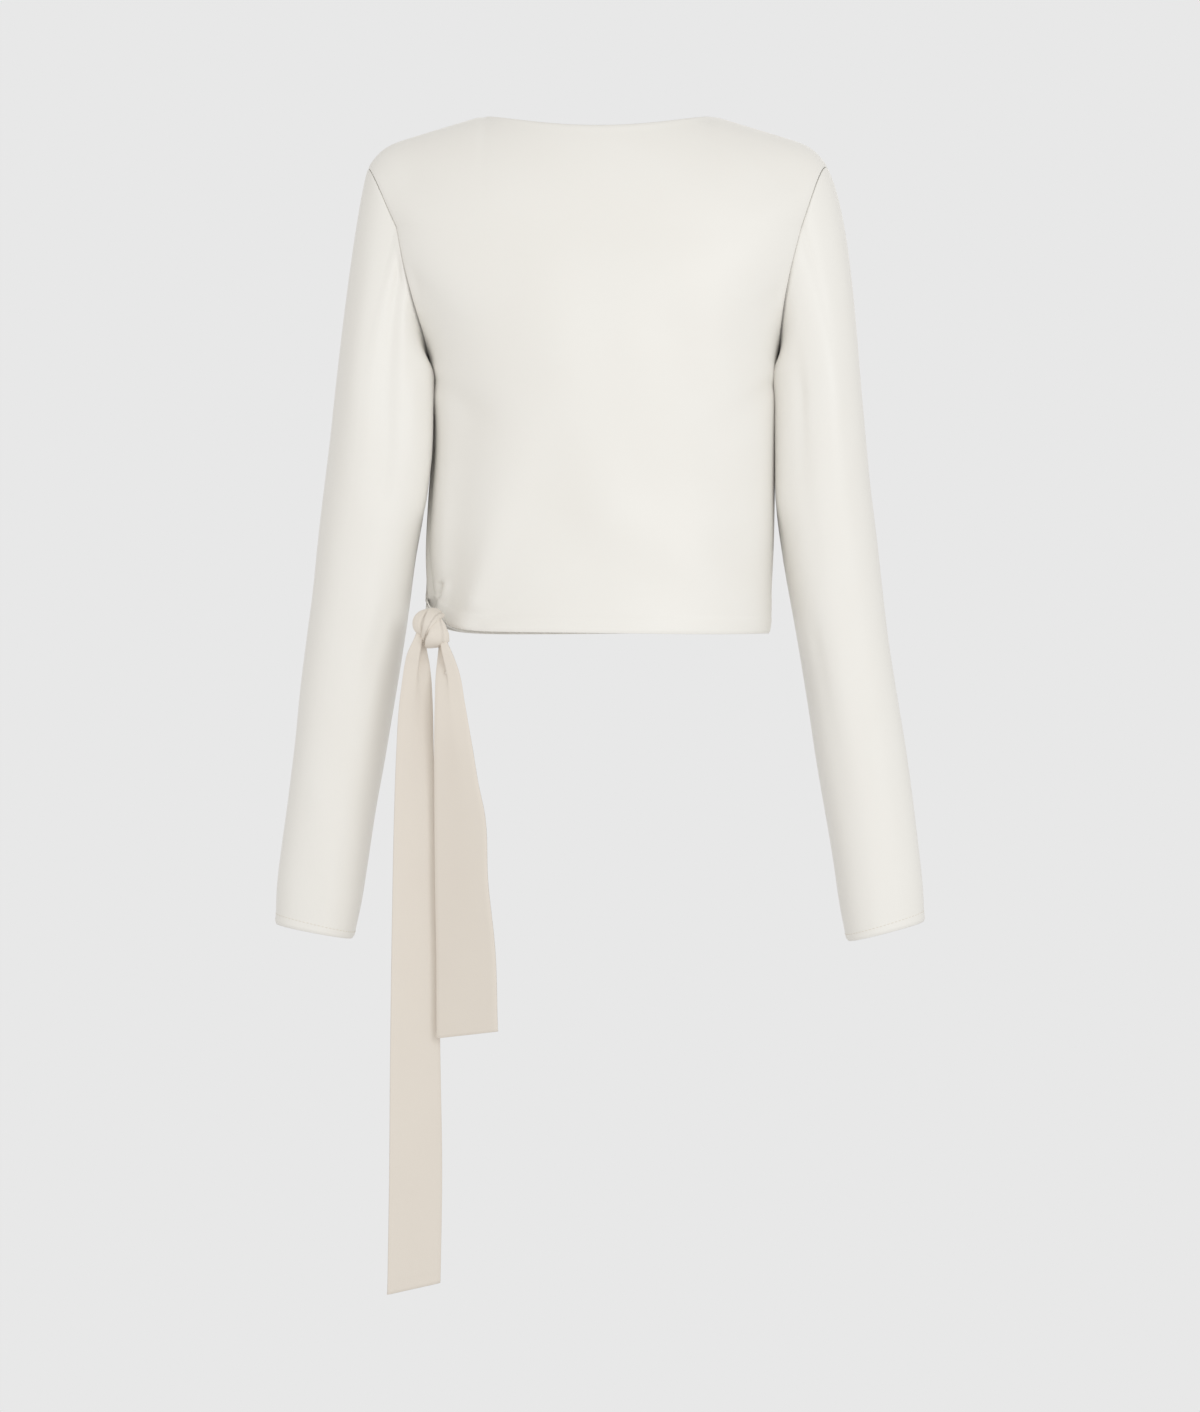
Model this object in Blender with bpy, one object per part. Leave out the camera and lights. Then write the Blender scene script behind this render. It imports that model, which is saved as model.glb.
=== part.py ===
"""A cropped wrap top with long sleeves, filled out as when worn and tied at the wearer's left hip.

The back of the garment faces -Y and its front +Y, so the wearer's left is at -X. The origin lies midway
between the two neck points, where the shoulder seams reach the neckline. Tables are in millimetres, and
"drop" is the distance below the origin. Every panel is a wall of one thickness on one body form.
"""

import math

import bmesh
import bpy
import numpy as np

MM = 0.001

WALL = 1.2          # thickness of the cloth
TIE_WALL = 2.0      # a tie is two layers of cloth turned out
SEAM = 0.3          # gap between the edges of two sewn pieces
LAP = 3.6           # how far a wrapped front moves off the form where the other one lies beside it
SQUARE = 2.2        # exponent of the body's level sections, 2 being an ellipse

HEM = 421.0         # drop of the hem
UNDERARM = 200.0    # drop of the underarm, where side seam, armhole and sleeve meet
YOKE = 95.0         # drop from which the panels turn inwards over the shoulders
SHOULDER_TIP = 188.6
NECK_HALF = 92.0
ARMHOLE_MID, ARMHOLE_HALF = 122.0, 78.0
# How fast each armhole's edge runs out to the shoulder tip above the yoke line: 1 would be evenly.
ARMHOLE_CURVE = {"left": 2.0, "right": 1.5}
HEM_FOLDED = 75.0   # height above the hem over which its lift near the knot fades out

BACK, FRONT = "back", "front"
FACING = {BACK: -1.0, FRONT: 1.0}
ARM_DEPTH = {BACK: 53.0, FRONT: 56.0}
NECK_DEPTH = {BACK: 62.0, FRONT: 34.0}
NECK_DIP = {BACK: 14.5, FRONT: 20.0}
NECK_RISE = {BACK: math.radians(58), FRONT: math.radians(50)}

# Level sections of the body. left and right are the panel's edge at the side seam or the armhole.
SECTIONS = (
    # drop, left, right, back, front
    (95, 163.5, 165.0, 90.0, 90.0),
    (128, 157.0, 156.5, 96.0, 106.0),
    (157, 149.5, 151.0, 98.0, 115.0),
    (180, 142.5, 148.5, 98.0, 119.0),
    (200, 138.0, 147.0, 97.0, 119.0),
    (235, 137.0, 146.3, 93.0, 114.0),
    (275, 136.8, 145.3, 88.0, 106.0),
    (310, 139.3, 144.8, 84.0, 98.0),
    (355, 141.5, 144.0, 83.0, 93.0),
    (400, 140.5, 141.0, 86.0, 92.0),
    (421, 140.0, 139.0, 88.0, 93.0),
)

# The wrapped front's free edge: turn is the angle round the body from the front's own side seam.
WRAP_EDGE = (
    # drop, turn
    (0, 60), (95, 73), (130, 79), (175, 90), (243, 113), (308, 140), (352, 160),
    (380, 172), (394, 177), (399.5, 182), (403, 190), (406.5, 198), (410, 206), (421, 206),
)
INNER_TURN = 166.0   # the inner front stops short of the other side seam

# Folds pulled by the knot, as straight lines on the panels. depth is outwards, so a trough is negative.
BACK_FOLDS = (
    # x, drop, end x, end drop, half width, depth
    (-122, 398, -86, 250, 17, -4.5),
    (-112, 412, 10, 372, 15, -2.0),
)
FRONT_FOLDS = (
    (-120, 392, 20, 262, 16, -3.5),
    (-122, 405, 60, 345, 15, -2.5),
)

# Level sections of the sleeves: how far out the two outlines are, half the depth, and the arm's forward reach.
SLEEVES = {
    "sleeve_left": (
        # drop, outer, inner, depth, forward
        (235, 216.0, 138.8, 60, 1), (272, 219.8, 138.6, 59, 1), (313, 224.7, 142.7, 57, 2),
        (354, 229.6, 149.5, 54, 3), (395, 234.0, 155.0, 51, 5), (436, 239.5, 161.2, 48, 7),
        (477, 244.8, 168.0, 45, 9), (518, 249.0, 175.0, 42, 11), (559, 254.2, 182.5, 39.5, 13),
        (600, 259.8, 188.9, 37, 14), (641, 264.4, 196.0, 34.5, 15), (667, 265.2, 202.0, 32, 15),
    ),
    "sleeve_right": (
        (235, 216.5, 148.2, 60, 1), (272, 219.8, 147.1, 59, 1), (313, 223.9, 146.6, 57, 2),
        (354, 228.8, 151.7, 54, 3), (395, 233.5, 159.0, 51, 5), (436, 238.6, 166.3, 48, 7),
        (477, 245.2, 173.0, 45, 9), (518, 252.2, 179.2, 42, 11), (559, 258.2, 186.2, 39.5, 13),
        (600, 263.2, 193.3, 37, 14), (641, 267.3, 200.0, 34.5, 15), (667, 268.5, 205.5, 32, 15),
    ),
}
# How a sleeve leaves the armhole: the angle above level, and how far that direction holds, at the underarm and
# at the shoulder tip. HEAD_END is how far the tube's own direction holds above its top.
HEADS = {"sleeve_left": (45.0, 16.0, -74.0, 32.0), "sleeve_right": (45.0, 16.0, -65.0, 45.0)}
HEAD_END = (12.0, 65.0)
HEAD_RINGS = 5

# The hanging ends of the tie. Their flat width is the same all the way, so a narrow stretch is curled.
TIE_WIDTH = 50.0
TIE_STEPS = 6
TIES = {
    "tie_long": (
        # drop, left, right, depth at the middle, slant of the right edge away from the back
        (438.5, -154.5, -139.5, -57, 0), (455, -157.5, -136.5, -55, 2), (480, -160.5, -134.5, -53, 5),
        (520, -162.4, -132.8, -52, 8), (560, -163.8, -131.5, -51, 10), (640, -165.5, -129.5, -50, 12),
        (770, -167.2, -127.6, -50, 13), (860, -168.0, -126.2, -50, 13.5), (952.5, -169.5, -127.5, -50, 13.5),
    ),
    "tie_short": (
        (441.0, -128.6, -115.2, -63, 0), (455, -130.0, -111.5, -63, 0), (480, -131.3, -107.0, -63, 0),
        (518, -132.0, -100.5, -64, 1), (545, -132.0, -96.2, -64, 1), (570, -132.0, -91.0, -65, 1),
        (625, -131.5, -88.3, -65, 1), (680, -130.6, -82.6, -66, 0), (746.6, -130.4, -80.5, -66, 0),
    ),
}
TIE_END_SLANT = {"tie_long": 3.6, "tie_short": 3.6}   # the left corner of a tie's end hangs this much lower

KNOT_CENTRE = (-136.5, -57.0, -419.0)
KNOT_RADII = (15.0, 10.5, 18.0)
KNOT_TILT = math.radians(24)
KNOT_WAIST = 0.14    # how deep the crossing band pinches the knot
KNOT_RINGS, KNOT_SIDES = 11, 18

PANEL_COLUMNS = 20
NECK_COLUMNS = 8     # of the back's columns, those that end at the neckline
BODY_DROPS = (421, 410, 406.5, 403, 399.5, 394, 384, 368, 348, 325, 300, 275, 250, 224)
ARMHOLE_ROWS = 5
YOKE_ROWS = (0.25, 0.47, 0.67, 0.85, 1.0)


def follow(table, at):
    """Reads a table at a value of its first column, on a smooth curve through its rows."""
    rows = np.array(table, dtype=float)
    knots, values = rows[:, 0], rows[:, 1:]
    slopes = np.gradient(values, knots, axis=0)
    at = min(max(at, knots[0]), knots[-1])
    i = min(max(int(np.searchsorted(knots, at)) - 1, 0), len(knots) - 2)
    span = knots[i + 1] - knots[i]
    t = (at - knots[i]) / span
    return (
        (1 + 2 * t) * (1 - t) ** 2 * values[i]
        + t * (1 - t) ** 2 * span * slopes[i]
        + t * t * (3 - 2 * t) * values[i + 1]
        + t * t * (t - 1) * span * slopes[i + 1]
    )


def blend(a, b, share):
    return a + (b - a) * share


def ease(value):
    value = min(max(value, 0.0), 1.0)
    return value * value * (3 - 2 * value)


def unit(vectors):
    return vectors / np.linalg.norm(vectors, axis=-1, keepdims=True)


# ---------------------------------------------------------------- the body form


def section(drop, face, right_side):
    """Half width of the whole form, its depth, and the panel's edge, on one side of one face."""
    left, right, back, front = follow(SECTIONS, drop)
    edge = right if right_side else left
    depth = back if face == BACK else front
    inside = 1 - ((drop - ARMHOLE_MID) / ARMHOLE_HALF) ** 2
    arm = ARM_DEPTH[face] * math.sqrt(inside) if inside > 0 and drop < UNDERARM else 0.0
    reach = edge / (1 - (arm / depth) ** SQUARE) ** (1 / SQUARE)
    return reach, depth, edge


def form_depth(x, drop, face):
    reach, depth, _ = section(drop, face, x > 0)
    return depth * max(0.0, 1 - (abs(x) / reach) ** SQUARE) ** (1 / SQUARE)


def top_edge(x, face):
    """Depth and drop of the shoulder seam or neckline at x, and how steeply the cloth climbs to it."""
    away = abs(x)
    if away >= NECK_HALF:
        drop = max(0.0, 0.30 * (away - 98)) + 14.8 * max(0.0, (away - 150) / 38.6) ** 4
        return 0.0, drop, 0.0
    inside = 1 - (away / NECK_HALF) ** 2
    return NECK_DEPTH[face] * math.sqrt(inside), NECK_DIP[face] * inside, NECK_RISE[face] * math.sqrt(inside)


def over_shoulder(x, low_x, share, face):
    """A point on the curve that runs from the yoke line (share 0) up to the shoulder or neckline (share 1)."""
    low = form_depth(low_x, YOKE, face)
    slope = min(max(low - form_depth(low_x, YOKE + 1, face), -0.25), 0.25)
    top, top_drop, rise = top_edge(x, face)
    up = YOKE - top_drop
    pull = 0.55 * (low - top) * math.cos(rise) ** 2 + 0.4 * up * math.sin(rise) ** 2
    curve = np.array((
        (low, YOKE),
        (low + slope * 0.45 * up, YOKE - 0.45 * up),
        (top + pull * math.cos(rise), top_drop + pull * math.sin(rise)),
        (top, top_drop),
    ))
    return bezier(curve, share)


def bezier(points, t):
    a, b, c, d = points
    return (1 - t) ** 3 * a + 3 * t * (1 - t) ** 2 * b + 3 * t * t * (1 - t) * c + t**3 * d


def edge_turn(drop, face, right_side):
    """Angle from the side seam to the panel's edge: nothing below the underarm, more in the armhole."""
    reach, _, edge = section(drop, face, right_side)
    return math.degrees(math.acos(min(1.0, edge / reach) ** (SQUARE / 2)))


def level_point(drop, turn, hand):
    """A point on the form. turn is in degrees from one side seam: hand 1 starts at the right, -1 at the left,
    and both turn over the front. More than 180 is past the far side seam, on the back."""
    cos, sin = math.cos(math.radians(turn)) * hand, math.sin(math.radians(turn))
    face = FRONT if sin >= 0 else BACK
    reach, depth, _ = section(drop, face, cos > 0)
    x = math.copysign(abs(cos) ** (2 / SQUARE) * reach, cos)
    y = math.copysign(abs(sin) ** (2 / SQUARE) * depth, sin)
    return np.array((x, y, -drop + hem_shift(drop, x, turn, hand)))


def hem_shift(drop, x, turn, hand):
    """The hem rises beside the knot, and the back's dips a little to the right and the front's to the left."""
    from_left_seam = abs(turn - 180) if hand > 0 else min(turn, 360 - turn)
    lift = 16.5 * math.exp(-((from_left_seam / 25) ** 2))
    tilt = -0.012 * x if math.sin(math.radians(turn)) < 0 else 0.010 * x
    return (lift + tilt) * ease(1 - (HEM - drop) / HEM_FOLDED)


def armhole_x(share, right_side):
    """The armhole's edge above the yoke line, out to the shoulder tip."""
    curve = ARMHOLE_CURVE["right" if right_side else "left"]
    return blend(section(YOKE, BACK, right_side)[2], SHOULDER_TIP, 1 - (1 - share) ** curve)


def panel_rows():
    """Every panel has the same rows: level ones up to the yoke line, then shares of the way over the shoulder."""
    arm = [YOKE + (UNDERARM - YOKE) * math.cos(math.pi / 2 * k / ARMHOLE_ROWS) for k in range(ARMHOLE_ROWS + 1)]
    levels = [(drop, 0.0) for drop in BODY_DROPS] + [(drop, 0.0) for drop in arm]
    return levels + [(YOKE, share) for share in YOKE_ROWS]


def back_points():
    shares = np.linspace(0, 1, PANEL_COLUMNS + 1)
    side = (PANEL_COLUMNS - NECK_COLUMNS) // 2
    shoulder = np.linspace(SHOULDER_TIP, NECK_HALF, side + 1)
    neck = np.linspace(NECK_HALF, -NECK_HALF, NECK_COLUMNS + 1)[1:-1]
    top_x = -np.concatenate((shoulder, neck, -shoulder[::-1]))
    rows = []
    for drop, over in panel_rows():
        start = 360 - edge_turn(drop, BACK, False)
        end = 180 + edge_turn(drop, BACK, True)
        level = [level_point(drop, blend(start, end, share), -1) for share in shares]
        if over == 0:
            rows.append(level)
            continue
        row = []
        for k, low in enumerate(level):
            right = low[0] > 0
            wide = armhole_x(over, right)
            ratio = blend(abs(low[0]) / section(YOKE, BACK, right)[2], abs(top_x[k]) / SHOULDER_TIP, over)
            x = math.copysign(wide * ratio, low[0])
            depth, point_drop = over_shoulder(x, low[0], over, BACK)
            row.append(np.array((x, FACING[BACK] * depth, -point_drop)))
        rows.append(row)
    return np.array(rows)


def front_points(hand, last_turn):
    """hand 1 is the front sewn to the wearer's right side seam. Its last column is the wrapped edge."""
    shares = np.linspace(0, 1, PANEL_COLUMNS + 1)
    right = hand > 0
    rows = []
    for drop, over in panel_rows():
        start = edge_turn(drop, FRONT, right)
        end = min(float(follow(WRAP_EDGE, drop)[0]), last_turn)
        level = [level_point(drop, blend(start, end, share), hand) for share in shares]
        if over == 0:
            rows.append(level)
            continue
        outer = armhole_x(over, right)
        inner = blend(abs(level[-1][0]), NECK_HALF, 1 - (1 - over) ** 3)
        row = []
        for share, low in zip(shares, level):
            low_share = (abs(level[0][0]) - abs(low[0])) / (abs(level[0][0]) - abs(level[-1][0]))
            x = hand * blend(outer, inner, blend(low_share, share, over))
            depth, point_drop = over_shoulder(x, low[0], over, FRONT)
            row.append(np.array((x, FACING[FRONT] * depth, -point_drop)))
        rows.append(row)
    return np.array(rows)


# ---------------------------------------------------------------- cloth from points


def grid_normals(points, outward):
    """Unit normals of a grid, turned to the same side as outward at its middle."""
    along, across = np.gradient(points, axis=0), np.gradient(points, axis=1)
    normals = unit(np.cross(along, across))
    middle = normals[normals.shape[0] // 2, normals.shape[1] // 2]
    return normals if np.dot(middle, outward) > 0 else -normals


def fold_height(points, folds):
    """How far the folds move each point outwards: a soft trough round each fold's line, fading at its far end."""
    height = np.zeros(points.shape[:2])
    for x, drop, end_x, end_drop, half_width, depth in folds:
        line = np.array((end_x - x, drop - end_drop), dtype=float)
        length = np.linalg.norm(line)
        line /= length
        away = points[..., [0, 2]] - np.array((x, -drop))
        along = away @ line
        across = away @ np.array((-line[1], line[0]))
        shares = np.clip(along / length, -0.15, 1.0)
        fade = np.cos(np.pi / 2 * np.clip(shares, 0, 1)) * np.exp(-np.minimum(along, 0) ** 2 / half_width**2)
        height += depth * fade * np.exp(-((across / half_width) ** 2))
    return height


def panel_walls(points, normals, out):
    """The two faces of a cloth wall whose outer face stands `out` off the points."""
    outer = points + normals * out[..., None]
    return outer, outer - normals * WALL


def sew_seams(outer, inner, facing, over_neck):
    """Holds the side seam and shoulder seam edges on a plane, half a seam gap from the plane between the panels."""
    y = facing * SEAM / 2
    underarm = len(BODY_DROPS)
    for face in (outer, inner):
        face[: underarm + 1, 0, 1] = y
        if facing < 0:
            face[: underarm + 1, -1, 1] = y
        face[-1, ~over_neck, 1] = y


def grid_solid(name, outer, inner, colour, closed=False):
    """One closed body between two faces of a grid. A closed grid joins its last column to its first."""
    rows, columns = outer.shape[:2]
    vertices = np.concatenate((outer.reshape(-1, 3), inner.reshape(-1, 3))) * MM
    count = rows * columns

    def at(row, column):
        return row * columns + column % columns

    faces = []
    for row in range(rows - 1):
        for column in range(columns if closed else columns - 1):
            quad = (at(row, column), at(row, column + 1), at(row + 1, column + 1), at(row + 1, column))
            faces.append(quad)
            faces.append(tuple(count + corner for corner in reversed(quad)))
    border = []
    for column in range(columns if closed else columns - 1):
        border.append((at(0, column), at(0, column + 1)))
        border.append((at(rows - 1, column + 1), at(rows - 1, column)))
    if not closed:
        for row in range(rows - 1):
            border.append((at(row + 1, 0), at(row, 0)))
            border.append((at(row, columns - 1), at(row + 1, columns - 1)))
    faces += [(b, a, count + a, count + b) for a, b in border]
    return add_object(name, vertices, faces, colour)


def add_object(name, vertices, faces, colour):
    mesh = bpy.data.meshes.new(name)
    mesh.from_pydata([tuple(vertex) for vertex in vertices], [], faces)
    work = bmesh.new()
    work.from_mesh(mesh)
    bmesh.ops.triangulate(work, faces=work.faces)
    bmesh.ops.recalc_face_normals(work, faces=work.faces)
    work.to_mesh(mesh)
    work.free()
    mesh.shade_smooth()
    item = bpy.data.objects.new(name, mesh)
    bpy.context.scene.collection.objects.link(item)
    mesh.materials.append(cloth_material(name, colour))
    return item


IVORY = (0.87, 0.84, 0.78)
BEIGE = (0.74, 0.68, 0.61)


def cloth_material(name, colour):
    material = bpy.data.materials.new(name)
    material.use_nodes = True
    shader = material.node_tree.nodes["Principled BSDF"]
    shader.inputs["Base Color"].default_value = (*colour, 1)
    shader.inputs["Roughness"].default_value = 0.55
    shader.inputs["Metallic"].default_value = 0.0
    return material


# ---------------------------------------------------------------- panels


def make_back():
    points = back_points()
    normals = grid_normals(points, (0, -1, 0))
    outer, inner = panel_walls(points, normals, fold_height(points, BACK_FOLDS))
    side = (PANEL_COLUMNS - NECK_COLUMNS) // 2
    over_neck = np.zeros(PANEL_COLUMNS + 1, dtype=bool)
    over_neck[side + 1 : -side - 1] = True
    sew_seams(outer, inner, FACING[BACK], over_neck)
    grid_solid("back", outer, inner, IVORY)
    return outer, inner


def make_front(name, hand, last_turn, lap):
    """lap(share of the way, turn) is how far the front stands off the form."""
    points = front_points(hand, last_turn)
    normals = grid_normals(points, (0, 1, 0))
    out = np.array([[lap(row, column) for column in range(PANEL_COLUMNS + 1)] for row in range(len(points))])
    out += fold_height(points, FRONT_FOLDS)
    outer, inner = panel_walls(points, normals, out)
    sew_seams(outer, inner, FACING[FRONT], np.zeros(PANEL_COLUMNS + 1, dtype=bool))
    grid_solid(name, outer, inner, IVORY)
    return outer, inner


def outer_lap(row, column):
    """The outer front stands off only where it passes the far side seam."""
    drop, _ = panel_rows()[row]
    turn = blend(edge_turn(drop, FRONT, True), float(follow(WRAP_EDGE, drop)[0]), column / PANEL_COLUMNS)
    return LAP * ease((turn - 140) / 25)


def inner_lap(row, column):
    """The inner front sinks under the outer one, away from its own seams."""
    drop, over = panel_rows()[row]
    end = min(float(follow(WRAP_EDGE, drop)[0]), INNER_TURN)
    start = edge_turn(drop, FRONT, False)
    turn = blend(start, end, column / PANEL_COLUMNS)
    return -LAP * ease((turn - start) / 25) * (1 - over)


# ---------------------------------------------------------------- sleeves


def armhole_loop(back_wall, front_wall, column):
    """The sewn edge round an armhole, from the underarm up the back and down the front, on one face."""
    start = len(BODY_DROPS)
    up = back_wall[start:, column]
    down = front_wall[start:, 0][::-1]
    loop = np.concatenate((up[:-1], [(up[-1] + down[0]) / 2], down[1:-1]))
    loop[0] = (up[0] + down[-1]) / 2
    return loop


def sleeve_ring(table, drop, hand, angles):
    outer, inner, depth, forward = follow(table, drop)
    above, below = follow(table, drop - 10), follow(table, drop + 10)
    lean = math.atan2((below[0] + below[1] - above[0] - above[1]) / 2, 20)
    half = (outer - inner) / 2
    cos, sin = np.cos(angles), np.sin(angles)
    out = -half * np.sign(cos) * np.abs(cos) ** (2 / SQUARE)
    back = depth * np.sign(sin) * np.abs(sin) ** (2 / SQUARE)
    middle = (outer + inner) / 2
    return np.stack((hand * (middle + out), forward - back, out * math.sin(lean) - drop), axis=1)


def make_sleeve(name, hand, outer_loop, inner_loop):
    table = SLEEVES[name]
    thick = unit(outer_loop - inner_loop)
    tangent = np.roll(outer_loop, -1, axis=0) - np.roll(outer_loop, 1, axis=0)
    away = hand * unit(np.cross(tangent, thick))
    start_outer, start_inner = outer_loop + away * SEAM, inner_loop + away * SEAM

    steps = np.linalg.norm(np.roll(outer_loop, -1, axis=0) - outer_loop, axis=1)
    angles = 2 * np.pi * np.concatenate(([0], np.cumsum(steps)[:-1])) / steps.sum()
    tube = [sleeve_ring(table, row[0], hand, angles) for row in table]

    shoulder = ((1 - np.cos(angles)) / 2)[:, None]
    under_angle, under_length, tip_angle, tip_length = HEADS[name]
    climb = np.radians(blend(under_angle, tip_angle, shoulder))
    leave = np.concatenate((hand * np.cos(climb), np.zeros_like(climb), np.sin(climb)), axis=1)
    curve = (
        start_outer,
        start_outer + leave * blend(under_length, tip_length, shoulder),
        tube[0] + unit(tube[0] - tube[1]) * blend(HEAD_END[0], HEAD_END[1], shoulder),
        tube[0],
    )
    head = [bezier(curve, k / HEAD_RINGS) for k in range(HEAD_RINGS)]
    points = np.array(head + tube)
    ring_along = np.gradient(points, axis=0)
    ring_across = np.roll(points, -1, axis=1) - np.roll(points, 1, axis=1)
    normals = hand * unit(np.cross(ring_along, ring_across))
    outer, inner = points.copy(), points - normals * WALL
    outer[0], inner[0] = start_outer, start_inner
    grid_solid(name, outer, inner, IVORY, closed=True)


# ---------------------------------------------------------------- ties and knot


def make_tie(name):
    table = TIES[name]
    across = np.linspace(-1, 1, TIE_STEPS + 1)
    rows = []
    first, last = table[0][0], table[-1][0]
    for row in table:
        drop, left, right, depth, slant = row
        wide = math.hypot(right - left, 2 * slant)
        curl = math.sqrt(max(0.0, 3 * wide * (TIE_WIDTH - wide) / 8))
        hang = TIE_END_SLANT[name] * across * (drop - first) / (last - first)
        x = blend(left, right, (across + 1) / 2)
        y = depth + slant * across - curl * (1 - across**2) + curl / 2
        rows.append(np.stack((x, y, hang - drop), axis=1))
    points = np.array(rows)
    normals = grid_normals(points, (0, -1, 0))
    grid_solid(name, points + normals * TIE_WALL / 2, points - normals * TIE_WALL / 2, BEIGE)


def make_knot():
    """A soft lump, pinched round its waist by the crossing band."""
    cos, sin = math.cos(KNOT_TILT), math.sin(KNOT_TILT)
    vertices = []
    for ring in range(1, KNOT_RINGS):
        height = math.cos(math.pi * ring / KNOT_RINGS)
        width = math.sqrt(1 - height**2) ** 0.8 * (1 - KNOT_WAIST * math.exp(-((height / 0.35) ** 2)))
        for side in range(KNOT_SIDES):
            angle = 2 * math.pi * side / KNOT_SIDES
            vertices.append((width * math.cos(angle), width * math.sin(angle), height))
    vertices += [(0, 0, 1), (0, 0, -1)]
    top, bottom = len(vertices) - 2, len(vertices) - 1
    vertices = np.array(vertices) * KNOT_RADII
    turned = vertices.copy()
    turned[:, 0] = cos * vertices[:, 0] - sin * vertices[:, 2]
    turned[:, 2] = sin * vertices[:, 0] + cos * vertices[:, 2]
    faces = []
    for side in range(KNOT_SIDES):
        after = (side + 1) % KNOT_SIDES
        faces.append((top, side, after))
        for ring in range(KNOT_RINGS - 2):
            low = ring * KNOT_SIDES
            faces.append((low + side, low + KNOT_SIDES + side, low + KNOT_SIDES + after, low + after))
        last = (KNOT_RINGS - 2) * KNOT_SIDES
        faces.append((bottom, last + after, last + side))
    add_object("knot", (turned + np.array(KNOT_CENTRE)) * MM, faces, BEIGE)


def clear_scene():
    for item in list(bpy.data.objects):
        bpy.data.objects.remove(item, do_unlink=True)


clear_scene()
back_outer, back_inner = make_back()
right_outer, right_inner = make_front("front_right", 1, 206, outer_lap)
left_outer, left_inner = make_front("front_left", -1, INNER_TURN, inner_lap)
make_sleeve(
    "sleeve_left", -1, armhole_loop(back_outer, left_outer, 0), armhole_loop(back_inner, left_inner, 0)
)
make_sleeve(
    "sleeve_right", 1, armhole_loop(back_outer, right_outer, -1), armhole_loop(back_inner, right_inner, -1)
)
for tie in TIES:
    make_tie(tie)
make_knot()
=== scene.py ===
"""Looks of the wrap top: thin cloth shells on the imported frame, in the frame's own coordinates.

The back of the garment faces -Y, its front +Y, and the wearer's left is at -X. Sizes are in millimetres
until a piece is made, and "drop" is the distance below the neck points.
"""

import math

import bmesh
import bpy
import numpy as np
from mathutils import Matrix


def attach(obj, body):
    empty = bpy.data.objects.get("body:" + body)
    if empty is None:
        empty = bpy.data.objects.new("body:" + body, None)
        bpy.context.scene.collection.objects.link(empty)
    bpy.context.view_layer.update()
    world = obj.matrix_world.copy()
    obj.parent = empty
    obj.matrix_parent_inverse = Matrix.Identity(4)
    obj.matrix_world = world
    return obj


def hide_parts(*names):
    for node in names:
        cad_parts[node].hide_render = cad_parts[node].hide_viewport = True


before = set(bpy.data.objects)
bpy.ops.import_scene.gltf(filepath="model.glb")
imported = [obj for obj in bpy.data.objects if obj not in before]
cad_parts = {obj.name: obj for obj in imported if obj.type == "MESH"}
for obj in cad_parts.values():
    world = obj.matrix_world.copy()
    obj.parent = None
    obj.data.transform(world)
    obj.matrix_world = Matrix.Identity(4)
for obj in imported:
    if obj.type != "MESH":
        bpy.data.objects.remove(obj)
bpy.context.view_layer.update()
bpy.ops.object.select_all(action="DESELECT")

# ---------------------------------------------------------------- back panel
# The back is one piece of ivory satin-backed crepe, cut with a shallow neckline and no darts. It is sewn at
# the shoulders, armholes and sides, and its hem is turned up once. The knot at the left hip drags soft folds
# into it.

MM = 0.001
CLOTH = 0.7                                 # thickness of the cloth as it shows at an edge
HEM, UNDERARM, YOKE = 421.0, 200.0, 95.0    # drops, and above the yoke the cloth curves over the shoulders
SHOULDER_TIP, NECK_HALF = 188.6, 92.0       # from the middle to the ends of the shoulder seam and neckline
BACK, FRONT = 0, 1                          # places in the pairs of values
SECTIONS = (
    # drop, left, right, back, front
    (95, 163.5, 165.0, 90.0, 90.0), (128, 157.0, 156.5, 96.0, 106.0), (157, 149.5, 151.0, 98.0, 115.0),
    (180, 142.5, 148.5, 98.0, 119.0), (200, 138.0, 147.0, 97.0, 119.0), (235, 137.0, 146.3, 93.0, 114.0),
    (275, 136.8, 145.3, 88.0, 106.0), (310, 139.3, 144.8, 84.0, 98.0), (355, 141.5, 144.0, 83.0, 93.0),
    (400, 140.5, 141.0, 86.0, 92.0), (421, 140.0, 139.0, 88.0, 93.0),
)
YOKE_LEFT, YOKE_RIGHT = SECTIONS[0][1:3]


def follow(table, at):
    """Reads a table at values of its first column, on smooth curves through its rows: an array a column."""
    rows = np.array(table, dtype=float)
    knots, values = rows[:, 0], rows[:, 1:]
    slopes = np.gradient(values, knots, axis=0)
    at = np.clip(np.asarray(at, dtype=float), knots[0], knots[-1])
    i = np.clip(np.searchsorted(knots, at) - 1, 0, len(knots) - 2)
    span = (knots[i + 1] - knots[i])[..., None]
    t = (at - knots[i])[..., None] / span
    curve = (
        (1 + 2 * t) * (1 - t) ** 2 * values[i] + t * (1 - t) ** 2 * span * slopes[i]
        + t * t * (3 - 2 * t) * values[i + 1] + t * t * (t - 1) * span * slopes[i + 1]
    )
    return np.moveaxis(curve, -1, 0)


def blend(a, b, share):
    return a + (b - a) * share


def ease(value):
    value = np.clip(value, 0.0, 1.0)
    return value * value * (3 - 2 * value)


def unit(vectors):
    return vectors / np.linalg.norm(vectors, axis=-1, keepdims=True)


def bezier(points, t):
    a, b, c, d = points
    return (1 - t) ** 3 * a + 3 * t * (1 - t) ** 2 * b + 3 * t * t * (1 - t) * c + t**3 * d


BOXY_CHEST, BOXY_LOSS = 2.6, 0.4            # level sections are boxy at the chest and rounder at the hem
ROUNDER_FROM, ROUNDER_OVER = 330, 60


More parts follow.
